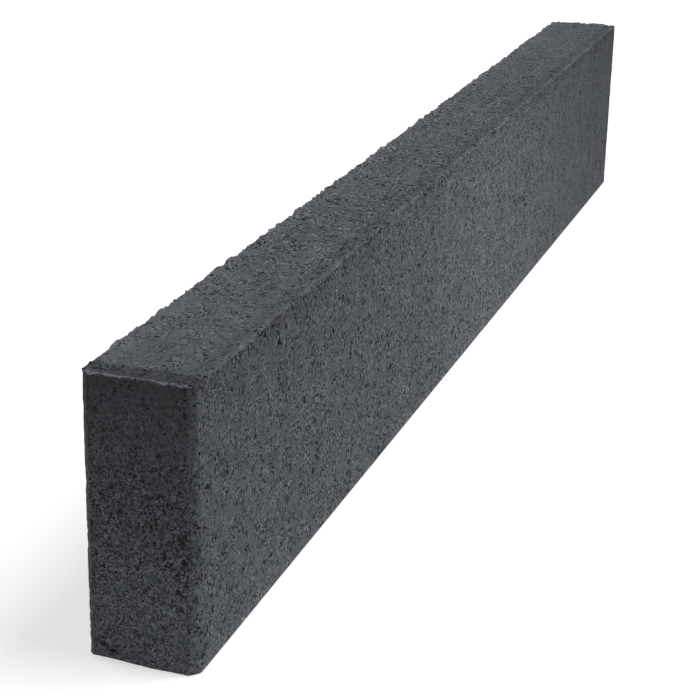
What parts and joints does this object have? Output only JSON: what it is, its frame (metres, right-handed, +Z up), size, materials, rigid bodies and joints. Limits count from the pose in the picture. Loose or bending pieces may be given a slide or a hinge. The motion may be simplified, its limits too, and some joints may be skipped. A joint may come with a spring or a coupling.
{
  "type": "concrete kerb stone",
  "caption": "Slim straight concrete edging kerb with chamfered end corners and a pressed top face, set on edge to border paving, lawns or paths.",
  "frame": {"origin": "middle of the foot, on the floor that the kerb stands on", "axes": "+X along the kerb's length, from the end that the picture shows to the far end; +Y across its thickness, away from the long side that the picture shows; +Z up"},
  "size_m": [1, 0.06, 0.1518],
  "materials": {
    "concrete": "dry pressed grey concrete, matt, fine open grain with small dark pits and pale sand grains"
  },
  "bodies": {
    "root": {"kerb_stone": "concrete"}
  },
  "joints": []
}
